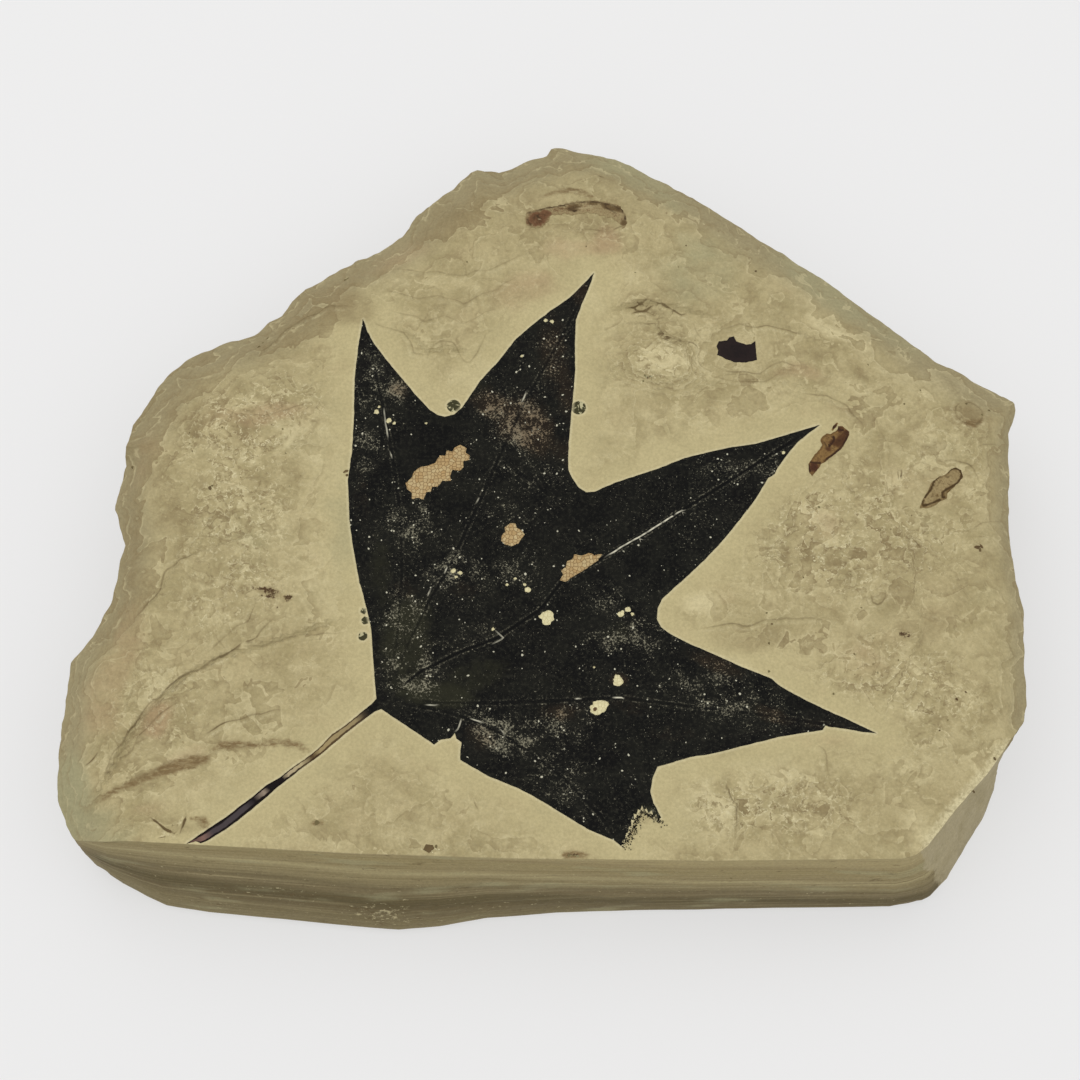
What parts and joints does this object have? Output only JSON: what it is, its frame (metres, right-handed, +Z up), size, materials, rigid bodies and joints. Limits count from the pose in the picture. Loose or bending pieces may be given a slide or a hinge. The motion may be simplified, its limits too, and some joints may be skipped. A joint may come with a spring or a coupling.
{
  "type": "fossil leaf on a shale slab",
  "caption": "Flat slab of pale laminated shale with one sawn edge, carrying a dark five-lobed compression fossil leaf and its stalk, with small fossils round it.",
  "frame": {"origin": "centre of the overall plan, in the plane of the slab's flat underside", "axes": "+X along the sawn edge towards the broken corner, +Y away from the sawn edge towards the slab's peak, +Z up from the underside through the face that carries the leaf"},
  "size_m": [0.1902, 0.164, 0.0273],
  "materials": {
    "slab": "matt olive-tan laminated shale",
    "leaf": "black coaly film, faintly shiny",
    "bark_strip": "matt reddish-brown film",
    "leaf_scrap": "black-brown coaly film",
    "insect": "matt reddish-brown film",
    "winged_insect": "matt tan-brown film"
  },
  "bodies": {
    "root": {"slab": "slab", "leaf": "leaf", "bark_strip": "bark_strip", "leaf_scrap": "leaf_scrap", "insect": "insect", "winged_insect": "winged_insect"}
  },
  "joints": []
}
